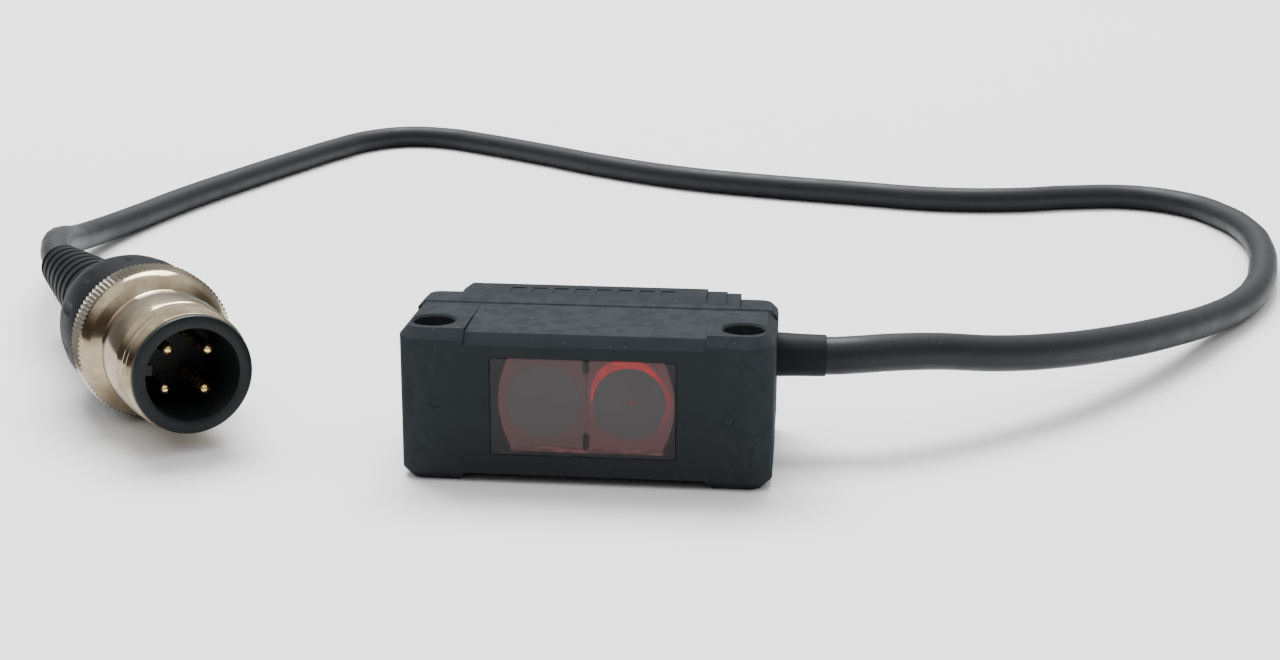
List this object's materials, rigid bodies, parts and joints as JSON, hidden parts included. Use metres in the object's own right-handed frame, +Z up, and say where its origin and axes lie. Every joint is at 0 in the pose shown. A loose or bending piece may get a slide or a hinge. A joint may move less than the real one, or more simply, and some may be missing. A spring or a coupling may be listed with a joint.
{
  "type": "photoelectric sensor",
  "caption": "Compact black photoelectric sensor with a smoky window, cross mounting holes, and a free cable ending in a keyed round plug with a turning nut.",
  "frame": {"origin": "middle of the case's footprint, on the surface its feet stand on", "axes": "+X along the case towards the cable, -Y is where the optical face looks, +Z up along the mounting holes"},
  "size_m": [0.148, 0.1575, 0.0139],
  "materials": {
    "case_black": "fine moulded grain",
    "seal_rubber": "matt",
    "smoky_window": "semi-matt smoky pane",
    "lens_clear": "clear moulded",
    "holder_grey": "matt",
    "inner_black": "matt",
    "red_led": "clear red",
    "chip_black": "moulded",
    "board_green": "solder mask",
    "tin_plate": "tin plated",
    "capacitor_tan": "moulded",
    "indicator_clear": "milky clear",
    "orange_led": "clear orange",
    "green_led": "clear green",
    "control_white": "moulded",
    "soft_black": "soft moulded",
    "core_brown": "extruded",
    "core_white": "extruded",
    "core_blue": "extruded",
    "core_black": "extruded",
    "cable_black": "satin jacket",
    "plug_black": "soft moulded grip",
    "nickel": "nickel plated",
    "carrier_black": "moulded",
    "gold": "gold plated"
  },
  "bodies": {
    "sensor": {"front_housing": "case_black", "rear_cover": "case_black", "case_seal": "seal_rubber", "front_window": "smoky_window", "receiver_lens": "lens_clear", "emitter_lens": "lens_clear", "lens_holder": "holder_grey", "light_baffle": "inner_black", "emitter_led": "red_led", "receiver_chip": "chip_black", "optics_board": "board_green", "main_board": "board_green", "board_connector": "chip_black", "signal_ic": "chip_black", "output_transistor": "chip_black", "filter_capacitor": "tin_plate", "supply_capacitor": "capacitor_tan", "indicator_lens": "indicator_clear", "output_led": "orange_led", "stability_led": "green_led", "adjuster_base": "capacitor_tan", "adjuster_o_ring": "seal_rubber", "selector_base": "capacitor_tan", "selector_o_ring": "seal_rubber", "cable_bushing": "soft_black", "cable_clamp": "tin_plate", "core_brown": "core_brown", "core_white": "core_white", "core_blue": "core_blue", "core_black": "core_black", "cable": "cable_black", "plug_body": "plug_black", "contact_carrier": "carrier_black", "contact_pin_1": "gold", "contact_pin_2": "gold", "contact_pin_3": "gold", "contact_pin_4": "gold"},
    "coupling_nut": {"coupling_nut": "nickel"},
    "sensitivity_adjuster": {"sensitivity_adjuster": "control_white"},
    "mode_selector": {"mode_selector": "control_white"}
  },
  "joints": [
    {"name": "nut_turn", "type": "hinge", "parent": "sensor", "child": "coupling_nut", "pos_m": [-0.03375, -0.00435, 0.007], "axis": [-0.5807, 0.8141, 0], "continuous": true},
    {"name": "sensitivity_turn", "type": "hinge", "parent": "sensor", "child": "sensitivity_adjuster", "pos_m": [-0.0086, 0.0082, 0.0064], "axis": [0, 1, 0], "range_deg": [-120, 120]},
    {"name": "mode_turn", "type": "hinge", "parent": "sensor", "child": "mode_selector", "pos_m": [-0.0024, 0.0082, 0.0064], "axis": [0, 1, 0], "range_deg": [0, 90]}
  ]
}
